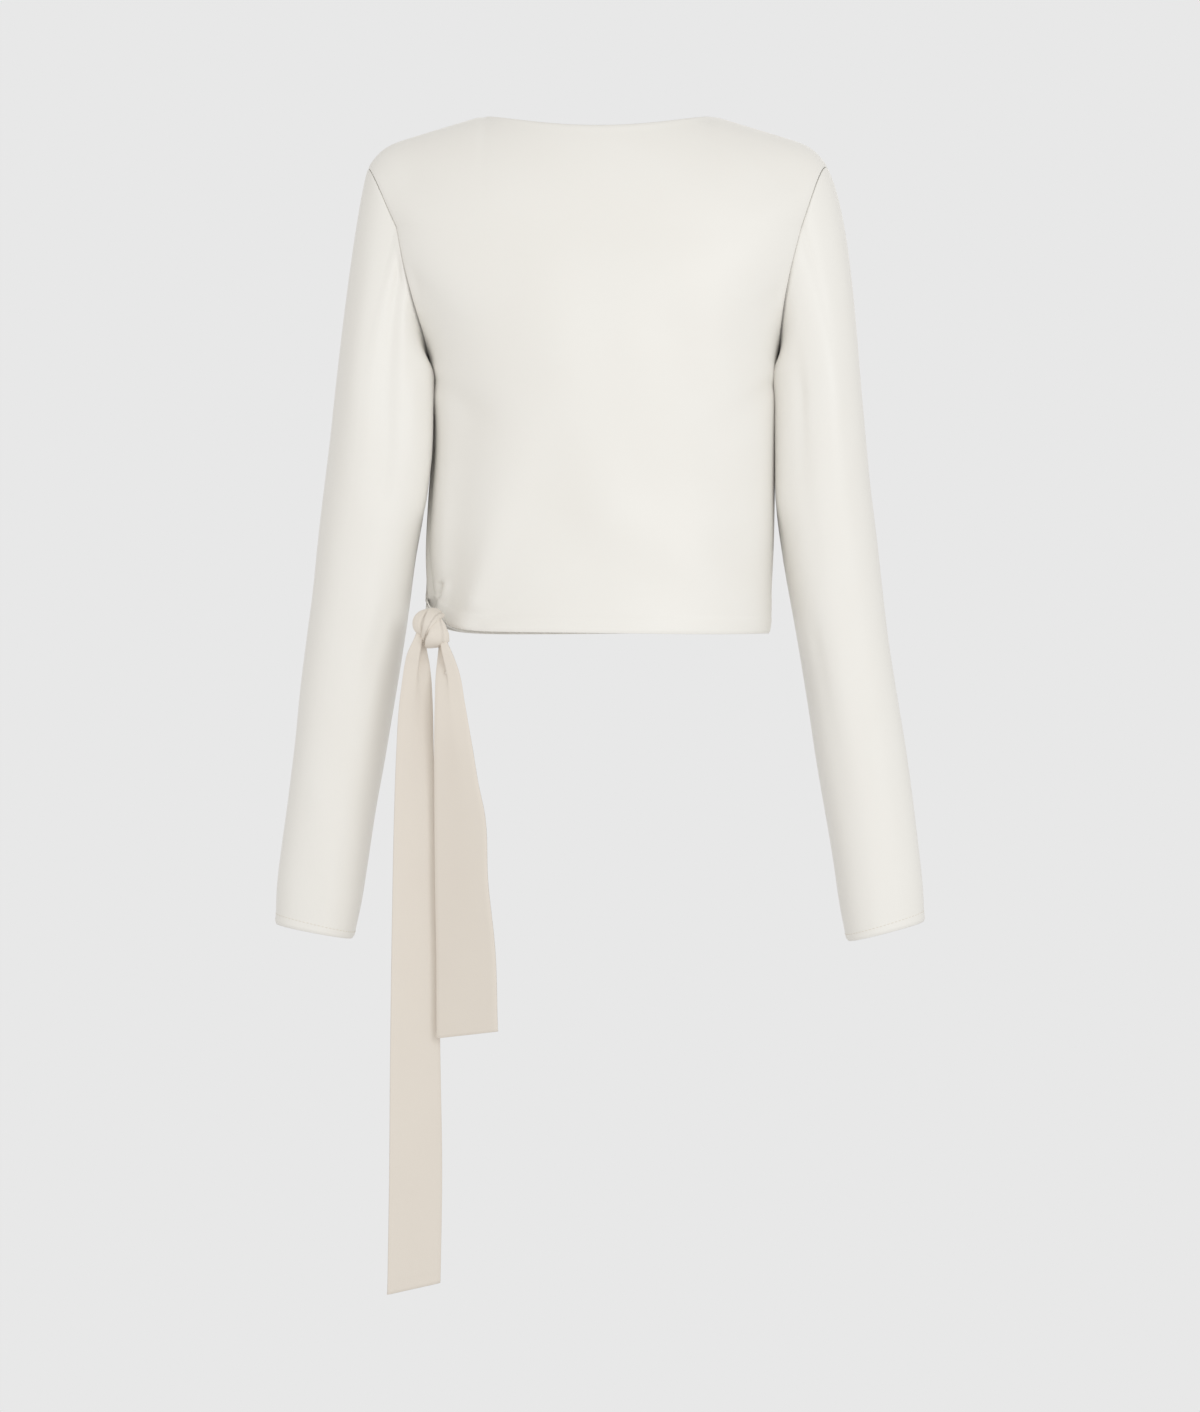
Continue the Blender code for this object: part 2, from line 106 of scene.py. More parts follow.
def square(drop):
    """How boxy the body's level sections are at a drop: 2 is an ellipse."""
    return BOXY_CHEST - BOXY_LOSS * ease((drop - ROUNDER_FROM) / ROUNDER_OVER)


ARMHOLE_MID, ARMHOLE_HALF = 122.0, 78.0     # drop at an armhole's middle, and half its height
ARM_DEPTH, ARM_ROUNDNESS = (53.0, 56.0), 0.72    # from the side line to the armhole's edge at its middle


def section(drop, front, right):
    """Half width of the whole form, its depth, and the panel's edge. front and right are true or false."""
    left_edge, right_edge, back_depth, front_depth = follow(SECTIONS, drop)
    edge = np.where(right, right_edge, left_edge)
    depth = np.where(front, front_depth, back_depth)
    inside = np.clip(1 - ((drop - ARMHOLE_MID) / ARMHOLE_HALF) ** 2, 0, 1)
    arm = np.where(front, ARM_DEPTH[FRONT], ARM_DEPTH[BACK]) * inside**ARM_ROUNDNESS
    power = square(drop)
    return edge / (1 - (arm / depth) ** power) ** (1 / power), depth, edge


def form_depth(x, drop, face):
    reach, depth, _ = section(drop, face == FRONT, x > 0)
    power = square(drop)
    return depth * np.maximum(0.0, 1 - (np.abs(x) / reach) ** power) ** (1 / power)


SHOULDER_SLOPE, SLOPE_FROM = 0.30, 98
TIP_DROP, TIP_FROM, TIP_RUN = 14.8, 150, 38.6    # the seam falls more steeply near the shoulder tip
NECK_DEPTH, NECK_DIP = (62.0, 34.0), (14.5, 20.0)    # depth and drop at the neckline's middle
NECK_RISE = (math.radians(58), math.radians(50))     # how steeply the cloth climbs to it there


def top_edge(x, face):
    """Depth and drop of the shoulder seam or neckline at x, and how steeply the cloth climbs to it."""
    away = np.abs(x)
    seam_drop = np.maximum(0.0, SHOULDER_SLOPE * (away - SLOPE_FROM))
    seam_drop = seam_drop + TIP_DROP * np.maximum(0.0, (away - TIP_FROM) / TIP_RUN) ** 4
    inside = np.clip(1 - (away / NECK_HALF) ** 2, 0, 1)
    root = np.sqrt(inside)
    drop = np.where(away >= NECK_HALF, seam_drop, NECK_DIP[face] * inside)
    return NECK_DEPTH[face] * root, drop, NECK_RISE[face] * root


YOKE_LEAN = 0.25                            # the most that the curve may lean where it leaves the yoke
YOKE_PULL, SEAM_PULL, NECK_PULL = 0.45, 0.55, 0.4    # how far it runs straight on from its ends


def over_shoulder(x, low_x, share, face):
    """Depth and drop on the curve from low_x at the yoke (share 0) to the shoulder or neckline (share 1)."""
    low = form_depth(low_x, np.full_like(x, YOKE), face)
    slope = np.clip(low - form_depth(low_x, np.full_like(x, YOKE + 1), face), -YOKE_LEAN, YOKE_LEAN)
    top, top_drop, rise = top_edge(x, face)
    up = YOKE - top_drop
    pull = SEAM_PULL * (low - top) * np.cos(rise) ** 2 + NECK_PULL * up * np.sin(rise) ** 2
    depth = bezier((low, low + slope * YOKE_PULL * up, top + pull * np.cos(rise), top), share)
    drop = bezier((YOKE, YOKE - YOKE_PULL * up, top_drop + pull * np.sin(rise), top_drop), share)
    return depth, drop


def edge_turn(drop, face, right):
    """Degrees from a side seam's line to where the panel's edge is, which is more beside the armhole."""
    reach, _, edge = section(drop, face == FRONT, right)
    return np.degrees(np.arccos(np.minimum(1.0, edge / reach) ** (square(drop) / 2)))


CORNER_LIFT, CORNER_SPREAD = 16.5, 25       # the knot draws the hem up at the left seam: height and degrees
BACK_SAG = 2.8                              # how much lower the hem hangs at the middle of the back
HEM_TILT = (-0.012, 0.010)                  # how much the hem rises towards the right
HEM_REACH = 75                              # how far above the hem these still show


def level_point(drop, turn, hand):
    """Points on the form. turn is in degrees over the front, from the right side seam for hand 1 or the left
    one for hand -1. More than 180 is past the far seam, on the back."""
    cos, sin = np.cos(np.radians(turn)) * hand, np.sin(np.radians(turn))
    reach, depth, _ = section(drop, sin >= 0, cos > 0)
    x = np.sign(cos) * np.abs(cos) ** (2 / square(drop)) * reach
    y = np.sign(sin) * np.abs(sin) ** (2 / square(drop)) * depth
    from_left_seam = np.abs(turn - 180) if hand > 0 else np.minimum(turn, 360 - turn)
    lift = CORNER_LIFT * np.exp(-((from_left_seam / CORNER_SPREAD) ** 2))
    tilt = np.where(sin < 0, HEM_TILT[BACK], HEM_TILT[FRONT]) * x
    sag = np.where(sin < 0, BACK_SAG, 0.0) * (1 - cos**4)
    shift = (lift + tilt - sag) * ease(1 - (HEM - drop) / HEM_REACH)
    return np.stack((x, y, shift - drop), axis=-1)


ARMHOLE_CURVE_LEFT, ARMHOLE_CURVE_RIGHT = 2.0, 1.5    # how soon the edge swings out towards the shoulder tip


def armhole_x(share, right):
    """How far out the armhole's edge is, at a share of the way from the yoke to the shoulder tip."""
    yoke_edge = np.where(right, YOKE_RIGHT, YOKE_LEFT)
    curve = np.where(right, ARMHOLE_CURVE_RIGHT, ARMHOLE_CURVE_LEFT)
    return blend(yoke_edge, SHOULDER_TIP, 1 - (1 - share) ** curve)


def stops(zones, ends=(0.0, 0.5, 1.1, 1.9, 3.0)):
    """Shares of a length for a row or column of points. Each zone is a length and the step within it. The
    points are closer together still at both ends, where hems and seams are shaped."""
    total = sum(length for length, _ in zones)
    marks, start = [np.array(ends)], 0.0
    for length, step in zones:
        low, high = max(start, ends[-1]), min(start + length, total - ends[-1])
        marks.append(np.linspace(low, high, max(2, round((high - low) / step)) + 1)[1:])
        start += length
    return np.concatenate((*marks[:-1], marks[-1][:-1], total - np.array(ends[::-1]))) / total


# The rows of every body panel: level ones up from the hem, then shares of the way over the shoulders.
HEM_ZONE, HEM_STEP, BODY_STEP = 54, 1.3, 3.0
ARM_ROWS, ARM_CROWDING = 33, 1.6            # beside the armhole the rows are closest at the underarm
OVER_LENGTH, OVER_STEP = 110, 3.6
body_drops = HEM - (HEM - UNDERARM) * stops([(HEM_ZONE, HEM_STEP), (HEM - UNDERARM - HEM_ZONE, BODY_STEP)])
arm_drops = UNDERARM - (UNDERARM - YOKE) * (np.linspace(0, 1, ARM_ROWS) ** ARM_CROWDING)[1:]
yoke_shares = stops([(OVER_LENGTH, OVER_STEP)])[1:]
ROW_DROPS = np.concatenate((body_drops, arm_drops, np.full(len(yoke_shares), YOKE)))
ROW_OVER = np.concatenate((np.zeros(len(body_drops) + len(arm_drops)), yoke_shares))
ARM_START = len(body_drops) - 1
BACK_ZONES = [(46, 1.2), (380, 3.4)]        # from the left seam, with more points where the knot's folds are
NECK_SPAN = (0.3, 0.7)                      # where the neckline starts and ends, as shares of the top edge


def back_points(shares):
    """The back as a grid of points, in rows from the hem up and from the left edge to the right."""
    drop, over = ROW_DROPS[:, None], ROW_OVER[:, None]
    start = 360 - edge_turn(drop, BACK, np.zeros_like(drop, bool))
    end = 180 + edge_turn(drop, BACK, np.ones_like(drop, bool))
    level = level_point(drop + 0 * shares, blend(start, end, shares), -1)
    right = level[..., 0] > 0
    top_x = np.interp(shares, (0, *NECK_SPAN, 1), (-SHOULDER_TIP, -NECK_HALF, NECK_HALF, SHOULDER_TIP))
    low_ratio = np.abs(level[..., 0]) / np.where(right, YOKE_RIGHT, YOKE_LEFT)
    ratio = blend(low_ratio, np.abs(top_x) / SHOULDER_TIP, over)
    x = np.sign(level[..., 0]) * armhole_x(over, right) * ratio
    depth, point_drop = over_shoulder(x, level[..., 0], over + 0 * x, BACK)
    above = np.stack((x, -depth, -point_drop), axis=-1)
    return np.where(over[..., None] > 0, above, level)


FOLD_FADE = 1.2                             # how far a fold runs on past its ends, in its own half widths


def folds(points, table):
    """How far creases move each point outwards. A row is a straight line on the panel, from x and drop to
    end_x and end_drop, with half width and height at both ends. A trough's heights are negative."""
    height = np.zeros(points.shape[:2])
    for x, drop, end_x, end_drop, width, end_width, tall, end_tall in table:
        line = np.array((end_x - x, drop - end_drop), dtype=float)
        length = np.linalg.norm(line)
        away = points[..., [0, 2]] - np.array((x, -drop))
        along = away @ line / length
        across = away @ np.array((-line[1], line[0])) / length
        share = np.clip(along / length, 0, 1)
        wide = blend(width, end_width, share)
        beyond = np.maximum(-along, 0) + np.maximum(along - length, 0)
        fade = np.exp(-((beyond / (FOLD_FADE * wide)) ** 2))
        height += blend(tall, end_tall, share) * fade * np.exp(-((across / wide) ** 2))
    return height


def lengths(points, axis):
    """Distances along the rows (axis 1) or columns (axis 0) of a grid, from its first to its last point."""
    steps = np.linalg.norm(np.diff(points, axis=axis), axis=-1)
    zero = np.zeros_like(np.take(steps, [0], axis=axis))
    return np.concatenate((zero, np.cumsum(steps, axis=axis)), axis=axis)


def grid_normals(points, outward):
    """The normal at each point of a grid, on the side that outward points to at the grid's middle."""
    normals = unit(np.cross(np.gradient(points, axis=0), np.gradient(points, axis=1)))
    middle = normals[normals.shape[0] // 2, normals.shape[1] // 2]
    return normals if np.dot(middle, outward) > 0 else -normals


SEAM_DRAW, SEAM_SPREAD = 0.5, 2.4           # depth and width of the dip beside a seam
TURNING_DEPTH, TURNING_SPREAD = 1.8, 0.35   # the same for the turning


def seam_dip(distance):
    """A sewn edge is drawn in a little along its stitches, and its turning goes straight in."""
    drawn = SEAM_DRAW * np.exp(-((distance / SEAM_SPREAD) ** 2))
    return -drawn - TURNING_DEPTH * np.exp(-((distance / TURNING_SPREAD) ** 2))


BODY_HEM, NECK_HEM, WRAP_HEM = 13, 5, 8     # how deep each edge is turned in
HEM_LAYER, STITCHED_BAND = 0.55, 3.0        # the second layer's height, and the width it fades over
EDGE_ROLL, ROLL_WIDTH = 0.9, 2.4            # how far the folded edge rolls under, and over what width


def turned_hem(distance, deep):
    """A hem is two layers thick up to its stitches, and its folded edge rolls under."""
    thick = HEM_LAYER * ease((deep + STITCHED_BAND / 2 - distance) / STITCHED_BAND)
    return thick - EDGE_ROLL * (1 - ease(distance / ROLL_WIDTH))


BACK_FOLDS = (
    # x, drop, end_x, end_drop, width, end_width, height, end_height
    (-128, 396, -112, 255, 19, 28, -8.5, -7.5),
    (-133, 372, -129, 225, 6, 10, 1.5, 1.2),
    (-134.5, 384, -136, 390, 1.6, 1.7, -6.5, -5.5),
    (-136.5, 391, -140.5, 402, 1.2, 1.4, -1.4, -0.8),
    (-129.5, 385, -136.5, 403, 3.4, 4.0, 1.8, 1.6),
    (-100, 398, -52, 250, 10, 22, 3.0, 1.2),
    (-96, 412, 12, 372, 10, 22, -3.0, -0.8),
    (-40, 160, 10, 330, 30, 30, 2.5, 2.6),
    (10, 330, 128, 408, 26, 20, 2.6, 2.4),
    (62, 190, 116, 345, 24, 24, -3.2, -3.6),
    (-138, 214, -92, 262, 5, 16, -2.2, -0.4),
    (140, 222, 100, 268, 5, 16, -2.0, -0.4),
    (-150, 140, -112, 190, 8, 18, -1.8, -0.4),
    (146, 150, 112, 190, 8, 18, -1.6, -0.4),
    (-150, 60, -80, 110, 16, 26, -2.2, -0.8),
    (150, 56, 84, 96, 16, 26, -1.8, -0.6),
)


def cloth_object(name, points, normals, closed=False, thickness=CLOTH):
    """A shell of cloth from a grid of its outer face, with a UV map in metres along and across it."""
    rows, columns = points.shape[:2]
    across, up = lengths(points, 1) * MM, lengths(points, 0) * MM
    if closed:
        points = points[:, :-1]
    width = points.shape[1]
    mesh = bpy.data.meshes.new(name)
    quads, corners = [], []
    for row in range(rows - 1):
        for column in range(columns - 1):
            after = (column + 1) % width
            low, high = row * width, (row + 1) * width
            quads.append((low + column, low + after, high + after, high + column))
            corners += [(row, column), (row, column + 1), (row + 1, column + 1), (row + 1, column)]
    mesh.from_pydata([tuple(p) for p in points.reshape(-1, 3) * MM], [], quads)
    spots = np.array(corners)
    layout = np.stack((across[spots[:, 0], spots[:, 1]], up[spots[:, 0], spots[:, 1]]), axis=1)
    mesh.uv_layers.new(name="Cloth").data.foreach_set("uv", layout.ravel())
    middle = (rows // 2) * width + width // 4
    if np.dot(mesh.vertices[middle].normal, normals[rows // 2, width // 4]) < 0:
        mesh.flip_normals()
    mesh.shade_smooth()
    item = bpy.data.objects.new(name, mesh)
    bpy.context.scene.collection.objects.link(item)
    wall = item.modifiers.new("wall", "SOLIDIFY")
    wall.thickness = thickness * MM
    wall.offset = -1.0
    apply_modifiers(item)
    return item


def apply_modifiers(item):
    """Applies a piece's modifiers in order and leaves nothing selected."""
    bpy.ops.object.select_all(action="DESELECT")
    item.select_set(True)
    bpy.context.view_layer.objects.active = item
    for modifier in list(item.modifiers):
        bpy.ops.object.modifier_apply(modifier=modifier.name)
    item.select_set(False)


def linear(hex_colour):
    """An sRGB hex colour as the linear RGBA that a shader takes."""
    channels = [int(hex_colour[i : i + 2], 16) / 255 for i in (0, 2, 4)]
    return (*[c / 12.92 if c <= 0.04045 else ((c + 0.055) / 1.055) ** 2.4 for c in channels], 1.0)


def add_node(tree, kind, settings, links):
    """Adds a node. settings are its own properties or its inputs' values, and links are sockets by input."""
    node = tree.nodes.new(kind)
    for key, value in settings.items():
        if key in node.inputs:
            node.inputs[key].default_value = value
        else:
            setattr(node, key, value)
    for key, socket in links.items():
        tree.links.new(socket, node.inputs[key])
    return node


MIX_A, MIX_B, MIX_RESULT = 6, 7, 2          # the colour sockets of a Mix node
TONE_PATCHES = 14.0                         # to the metre, so the cloth's tone drifts over about 70 mm
GRAIN_STRENGTH, GRAIN_GLOSS = 0.35, 0.04    # how much the grain shows as bump, and in the roughness


def crepe(name, light, shade, roughness, sheen, grain_mm, depth_mm):
    """Polyester satin-backed crepe, woven with twisted yarns: a fine pebbled face with a low silky sheen.
    The real grain is about 0.4 mm. It is drawn coarser, because it would not show at its own size."""
    material = bpy.data.materials.new(name)
    material.use_nodes = True
    tree = material.node_tree
    shader = tree.nodes["Principled BSDF"]
    place = add_node(tree, "ShaderNodeUVMap", {"uv_map": "Cloth"}, {})
    patches = add_node(
        tree,
        "ShaderNodeTexNoise",
        {"Scale": TONE_PATCHES, "Detail": 2.0, "Roughness": 0.5},
        {"Vector": place.outputs["UV"]},
    )
    tone = add_node(tree, "ShaderNodeMix", {"data_type": "RGBA"}, {"Factor": patches.outputs["Fac"]})
    tone.inputs[MIX_A].default_value = linear(light)
    tone.inputs[MIX_B].default_value = linear(shade)
    tree.links.new(tone.outputs[MIX_RESULT], shader.inputs["Base Color"])
    grain = add_node(
        tree,
        "ShaderNodeTexNoise",
        {"Scale": 1 / (grain_mm * MM), "Detail": 3.0, "Roughness": 0.65},
        {"Vector": place.outputs["UV"]},
    )
    rough = add_node(
        tree,
        "ShaderNodeMapRange",
        {
            "From Min": 0.3,
            "From Max": 0.7,
            "To Min": roughness - GRAIN_GLOSS,
            "To Max": roughness + GRAIN_GLOSS,
        },
        {"Value": grain.outputs["Fac"]},
    )
    tree.links.new(rough.outputs["Result"], shader.inputs["Roughness"])
    bump = add_node(
        tree,
        "ShaderNodeBump",
        {"Strength": GRAIN_STRENGTH, "Distance": depth_mm * MM},
        {"Height": grain.outputs["Fac"]},
    )
    tree.links.new(bump.outputs["Normal"], shader.inputs["Normal"])
    shader.inputs["IOR"].default_value = 1.5
    shader.inputs["Sheen Weight"].default_value = sheen
    shader.inputs["Sheen Roughness"].default_value = 0.4
    return material


ivory = crepe("ivory_satin_backed_crepe", "F2F0EB", "F0EDE7", 0.46, 0.15, 1.4, 0.12)
FAR = 100                                   # further from any seam than a seam shows


def seam_distance(to_edge, to_top, over_neck):
    """Distance to the nearest sewn edge. over_neck is 1 on the columns that end at the open neckline."""
    return np.minimum(to_edge, to_top + FAR * over_neck)


back_base = back_points(stops(BACK_ZONES))
back_out = grid_normals(back_base, (0, -1, 0))
from_side = lengths(back_base, 1)
to_side = np.minimum(from_side, from_side[:, -1:] - from_side)
from_hem = lengths(back_base, 0)
from_top = from_hem[-1:] - from_hem
over_neck = ease((NECK_HALF + 1 - np.abs(back_base[-1:, :, 0])) / 2)
SIDE_HOLD = 12                              # the side seams hold the folds down this far from them
relief = folds(back_base, BACK_FOLDS) * ease(to_side / SIDE_HOLD)
relief += seam_dip(seam_distance(to_side, from_top, over_neck))
relief += over_neck * turned_hem(from_top, NECK_HEM) + turned_hem(from_hem, BODY_HEM)
# The front's corner and the knot lie on the back here, and press it in.
PRESS_X, PRESS_WIDTH, PRESS_DROP, PRESS_FADE, PRESS_DEPTH = -141, 12, 384, 22, 1.8
beside_knot = np.exp(-(((back_base[..., 0] - PRESS_X) / PRESS_WIDTH) ** 2))
relief -= PRESS_DEPTH * (beside_knot * ease((-back_base[..., 2] - PRESS_DROP) / PRESS_FADE))
back_face = back_base + back_out * relief[..., None]
back = cloth_object("back_panel", back_face, back_out)
back.data.materials.append(ivory)
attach(back, "root")
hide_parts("back")

# ---------------------------------------------------------------- fronts
# The two fronts are cut alike in the same crepe, each from its own shoulder and side seam to a long slanting
# edge that is turned in once. The right one lies on top, and its corner is gathered round the left side into
# the knot.

LAP = 3.6                                   # how far the outer layer stands off, and the inner one lies in
OUTER_TURN, INNER_TURN = 206.0, 166.0       # the furthest that each front reaches round, in degrees
WRAP_EDGE = (
    # drop, turn
    (0, 60), (95, 73), (130, 79), (175, 90), (243, 113), (308, 140), (352, 158),
    (380, 167), (400, 172), (408, 177), (412.5, 185), (415, 194), (417, 204), (421, 206),
)
NECK_CURVE = 3                              # how quickly the slanting edge turns up to the neck point
FRONT_ZONES = [(330, 3.4), (70, 1.6)]       # from the side seam, with more points by the slanting edge
FRONT_FOLDS = (
    # x, drop, end_x, end_drop, width, end_width, height, end_height
    (-124, 392, 10, 262, 11, 22, -3.6, -0.4),
    (-118, 402, 60, 335, 9, 24, -2.6, -0.3),
    (-128, 380, -70, 270, 8, 18, 1.8, 0.2),
    (-100, 410, 90, 395, 8, 20, 1.6, 0.2),
    (118, 205, 60, 235, 8, 22, -1.8, -0.2),
    (-120, 205, -75, 240, 8, 20, -1.6, -0.2),
    (40, 190, 110, 330, 18, 26, 1.5, 0.8),
)


def front_points(hand, last_turn, shares):
    """A front as a grid of points, with the turn of each, the turn of its side edge and its share over the
    shoulder."""
    drop, over = ROW_DROPS[:, None], ROW_OVER[:, None]
    right = np.full_like(drop, hand > 0, dtype=bool)
    start = edge_turn(drop, FRONT, right)
    end = np.minimum(follow(WRAP_EDGE, drop)[0], last_turn)
    turn = blend(start, end, shares)
    level = level_point(drop + 0 * shares, turn, hand)
    low = np.abs(level[..., 0])
    low_share = (low[:, :1] - low) / (low[:, :1] - low[:, -1:])
    outer, inner = armhole_x(over, right), blend(low[:, -1:], NECK_HALF, 1 - (1 - over) ** NECK_CURVE)
    x = hand * blend(outer, inner, blend(low_share, shares, over))
    depth, point_drop = over_shoulder(x, level[..., 0], over + 0 * x, FRONT)
    above = np.stack((x, depth, -point_drop), axis=-1)
    return np.where(over[..., None] > 0, above, level), turn, start, over


FRONT_SIDE_HOLD = 6                         # as on the back, but closer to the seam


def make_front(name, hand, last_turn, lap):
    base, turn, start, over = front_points(hand, last_turn, stops(FRONT_ZONES))
    out = grid_normals(base, (0, 1, 0))
    from_seam = lengths(base, 1)
    to_wrap = from_seam[:, -1:] - from_seam
    from_hem = lengths(base, 0)
    from_top = from_hem[-1:] - from_hem
    relief = lap(turn, start, over) + folds(base, FRONT_FOLDS) * ease(from_seam / FRONT_SIDE_HOLD)
    sewn = seam_dip(np.minimum(from_seam, from_top))
    relief += sewn + turned_hem(to_wrap, WRAP_HEM) + turned_hem(from_hem, BODY_HEM)
    face = base + out * relief[..., None]
    item = cloth_object(name, face, out)
    item.data.materials.append(ivory)
    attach(item, "root")
    return item, base, face


# Where each lap starts and over how much it grows, in degrees.
OVER_FROM, OVER_GROWS = 128, 22
SIDE_FROM, SIDE_GROWS, SIDE_CLOSENESS = 168, 14, 0.75
UNDER_GROWS = 25


def outer_lap(turn, start, over):
    """The right front lies over the left one, and close against the back where it passes round the side."""
    close = 1 - SIDE_CLOSENESS * ease((turn - SIDE_FROM) / SIDE_GROWS)
    return LAP * ease((turn - OVER_FROM) / OVER_GROWS) * close


def inner_lap(turn, start, over):
    """The left front lies under the right one from its side seam on, and level with it at the shoulders."""
    return -LAP * ease((turn - start) / UNDER_GROWS) * (1 - over)


front_right, right_base, right_face = make_front("front_panel_right", 1, OUTER_TURN, outer_lap)
front_left, left_base, left_face = make_front("front_panel_left", -1, INNER_TURN, inner_lap)
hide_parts("front_right")
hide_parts("front_left")

# ---------------------------------------------------------------- sleeves
# Each sleeve is one piece of the same crepe, sewn into its armhole with no gathers and closed by a seam
# under the arm. The cuff is turned up once, 6 mm deep, and held by a row of small stitches.

SLEEVES = {
    "left": (
        # drop, outer, inner, depth, forward
        (235, 216.0, 138.8, 60, 1), (272, 219.8, 138.6, 59, 1), (313, 224.7, 142.7, 57, 2),
        (354, 229.6, 149.5, 54, 3), (395, 234.0, 155.0, 51, 5), (436, 239.5, 161.2, 48, 7),
        (477, 244.8, 168.0, 45, 9), (518, 249.0, 175.0, 42, 11), (559, 254.2, 182.5, 39.5, 13),
        (600, 259.8, 188.9, 37, 14), (641, 264.4, 196.0, 34.5, 15), (667, 265.2, 202.0, 32, 15),
    ),
    "right": (
        (235, 216.5, 148.2, 60, 1), (272, 219.8, 147.1, 59, 1), (313, 223.9, 146.6, 57, 2),
        (354, 228.8, 151.7, 54, 3), (395, 233.5, 159.0, 51, 5), (436, 238.6, 166.3, 48, 7),
        (477, 245.2, 173.0, 45, 9), (518, 252.2, 179.2, 42, 11), (559, 258.2, 186.2, 39.5, 13),
        (600, 263.2, 193.3, 37, 14), (641, 267.3, 200.0, 34.5, 15), (667, 268.5, 205.5, 32, 15),
    ),
}
# How a sleeve leaves the armhole: its angle above level and how far that holds, at the underarm and then at
# the shoulder tip. HEAD_END is how far the head runs along the tube's direction at its other end.
HEADS = {"left": (-82.0, 10.0, -74.0, 32.0), "right": (-82.0, 10.0, -65.0, 45.0)}
HEAD_END = (12.0, 65.0)
SLEEVE_SQUARE = 2.5                         # how boxy a sleeve is: 2 is an ellipse
TUBE_TOP, CUFF = 235.0, 667.0
CUFF_HEM = 6.0
CUFF_SLANT = {"left": 0.13, "right": 0.20}  # how much more a cuff rises outwards than square to its sleeve
SLANT_RUN = 90                              # the slant grows over this much of the sleeve
# Creases on a sleeve. around is the angle from its inner side: 90 is the back of the arm, 180 the outside.
SLEEVE_FOLDS = {
    "left": (
        # around, drop, end_around, end_drop, width, end_width, height, end_height
        (84, 150, 80, 300, 11, 11, -4.5, -2.5), (52, 240, 50, 350, 8, 12, 1.2, 0.6),
        (120, 190, 96, 330, 16, 22, 1.2, 0.6), (62, 420, 84, 520, 10, 18, -1.2, -0.5),
        (28, 200, 28, 306, 23, 20, 9.5, 5.4),
        (300, 225, 270, 380, 10, 18, -2.0, -0.4), (240, 430, 268, 500, 12, 18, -2.0, -0.6),
        (255, 455, 292, 520, 12, 16, -1.6, -0.5), (100, 560, 80, 640, 14, 20, 1.0, 0.4),
    ),
    "right": (
        (62, 230, 70, 345, 8, 12, -2.0, -0.5), (96, 225, 100, 380, 13, 18, 1.4, 0.5),
        (128, 180, 112, 300, 16, 20, -1.0, -0.3), (52, 430, 60, 560, 12, 20, -1.4, -0.6),
        (28, 200, 28, 306, 23, 20, 9.0, 4.5),
        (295, 225, 268, 370, 10, 18, -2.0, -0.4), (238, 425, 266, 492, 12, 18, -1.9, -0.6),
        (258, 450, 290, 515, 12, 16, -1.7, -0.5), (104, 540, 88, 650, 14, 20, 0.9, 0.4),
    ),
}


def armhole_loop(back_column, front_column):
    """The sewn edge round an armhole, from the underarm up the back and down the front."""
    up, down = back_column[ARM_START:], front_column[ARM_START:][::-1]
    loop = np.concatenate((up[:-1], [(up[-1] + down[0]) / 2], down[1:-1]))
    loop[0] = (up[0] + down[-1]) / 2
    return loop


LEAN_REACH = 10                             # a ring's lean is read this far above and below it


def sleeve_rings(table, drops, hand, angles, slant):
    """Rings of points down the straight part of a sleeve, square to it, and slanting at the cuff."""
    outer, inner, depth, forward = (column[:, None] for column in follow(table, drops))
    above, below = follow(table, drops - LEAN_REACH), follow(table, drops + LEAN_REACH)
    lean = np.arctan2((below[0] + below[1] - above[0] - above[1]) / 2, 2 * LEAN_REACH)[:, None]
    cos, sin = np.cos(angles), np.sin(angles)
    out = -(outer - inner) / 2 * np.sign(cos) * np.abs(cos) ** (2 / SLEEVE_SQUARE)
    back = depth * np.sign(sin) * np.abs(sin) ** (2 / SLEEVE_SQUARE)
    rise = np.sin(lean) + slant * ease((drops[:, None] - CUFF + SLANT_RUN) / SLANT_RUN)
    x = hand * ((outer + inner) / 2 + out)
    return np.stack((x, forward - back, out * rise - drops[:, None]), axis=-1)


CREASE_FADE = 22                            # how far a crease runs on past its ends


def sleeve_creases(angles, drops, table):
    """How far creases move each point of a sleeve outwards."""
    height = np.zeros((len(drops), len(angles)))
    around, drop = np.degrees(angles)[None, :], drops[:, None]
    for start, top, end, bottom, width, end_width, tall, end_tall in table:
        share = np.clip((drop - top) / (bottom - top), 0, 1)
        beyond = np.maximum(top - drop, 0) + np.maximum(drop - bottom, 0)
        across = (around - blend(start, end, share) + 180) % 360 - 180
        wide = blend(width, end_width, share)
        fade = np.exp(-((across / wide) ** 2) - (beyond / CREASE_FADE) ** 2)
        height += blend(tall, end_tall, share) * fade
    return height


SLEEVE_STEP, HEAD_LENGTH = 4.0, 120
FINE_MARKS = 4                              # how many short steps stops() starts and ends with
DOWN_TUBE = 4                               # the ring that shows which way the tube points at its top
HEAD_DROP = 150                             # the armhole's mean drop, used to place the creases
CREASE_HOLD = 11                            # the armhole seam holds the creases down this far from it
SEAM_INSET = 0.4                            # the sleeve's edge lies this far from the line of stitches
DEGREE = 0.7                                # length round the arm of one degree
UNDER_SEAM_DIP, UNDER_SEAM_SPREAD = 0.4, 2  # the seam under the arm
UNDER_SEAM_FROM, UNDER_SEAM_GROWS = 12, 10


